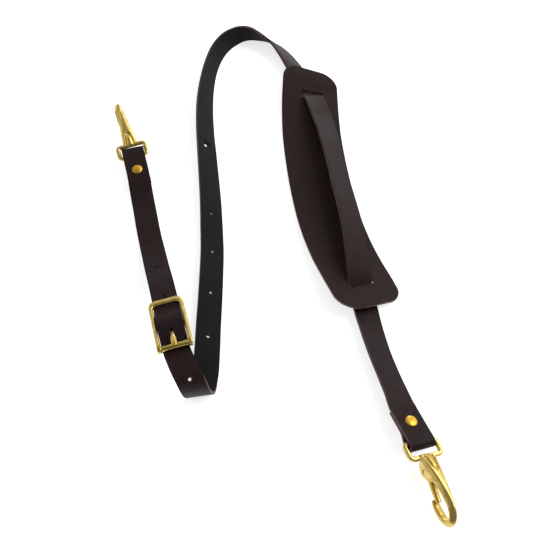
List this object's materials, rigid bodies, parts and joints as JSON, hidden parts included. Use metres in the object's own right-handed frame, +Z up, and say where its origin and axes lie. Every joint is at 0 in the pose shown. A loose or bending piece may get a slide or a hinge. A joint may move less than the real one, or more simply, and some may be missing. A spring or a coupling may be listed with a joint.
{
  "type": "leather shoulder strap with snap hooks",
  "caption": "Leather shoulder strap with a curved sliding shoulder pad, a roller buckle for length and a brass snap hook at each end, laid out on a table.",
  "frame": {"origin": "middle of the part's box, on the table it lies on", "axes": "+Z up from the table, +Y along the strap's length as laid out, away from the near snap hook, +X towards the shoulder pad"},
  "size_m": [0.3474, 0.6374, 0.0542],
  "materials": {
    "long_strap": "dark brown smooth full-grain leather with raw suede back",
    "short_strap": "dark brown smooth full-grain leather with raw suede back",
    "shoulder_pad": "dark brown flat-cut leather, lightly burnished edge",
    "buckle_frame": "polished cast brass",
    "buckle_roller": "polished brass tube",
    "buckle_prong": "polished brass",
    "hook_right": "polished cast brass",
    "gate_right": "polished brass",
    "rivet_right": "polished brass",
    "hook_left": "polished cast brass",
    "gate_left": "polished brass",
    "rivet_left": "polished brass"
  },
  "bodies": {
    "strap": {"long_strap": "long_strap", "short_strap": "short_strap", "shoulder_pad": "shoulder_pad", "buckle_frame": "buckle_frame", "buckle_roller": "buckle_roller", "buckle_prong": "buckle_prong", "hook_right": "hook_right", "rivet_right": "rivet_right", "hook_left": "hook_left", "rivet_left": "rivet_left"},
    "gate_right": {"gate_right": "gate_right"},
    "gate_left": {"gate_left": "gate_left"}
  },
  "joints": [
    {"name": "gate_right_hinge", "type": "hinge", "parent": "strap", "child": "gate_right", "pos_m": [0.15412, -0.2698, 0.01001], "axis": [-0.86, -0.2461, 0.4471], "range_deg": [0, 16], "stiffness_Nm_per_rad": 0.05, "springref_deg": -22.92},
    {"name": "gate_left_hinge", "type": "hinge", "parent": "strap", "child": "gate_left", "pos_m": [-0.15383, 0.12398, 0.0121], "axis": [0.9255, 0.3628, -0.1087], "range_deg": [0, 16], "stiffness_Nm_per_rad": 0.05, "springref_deg": -22.92}
  ]
}
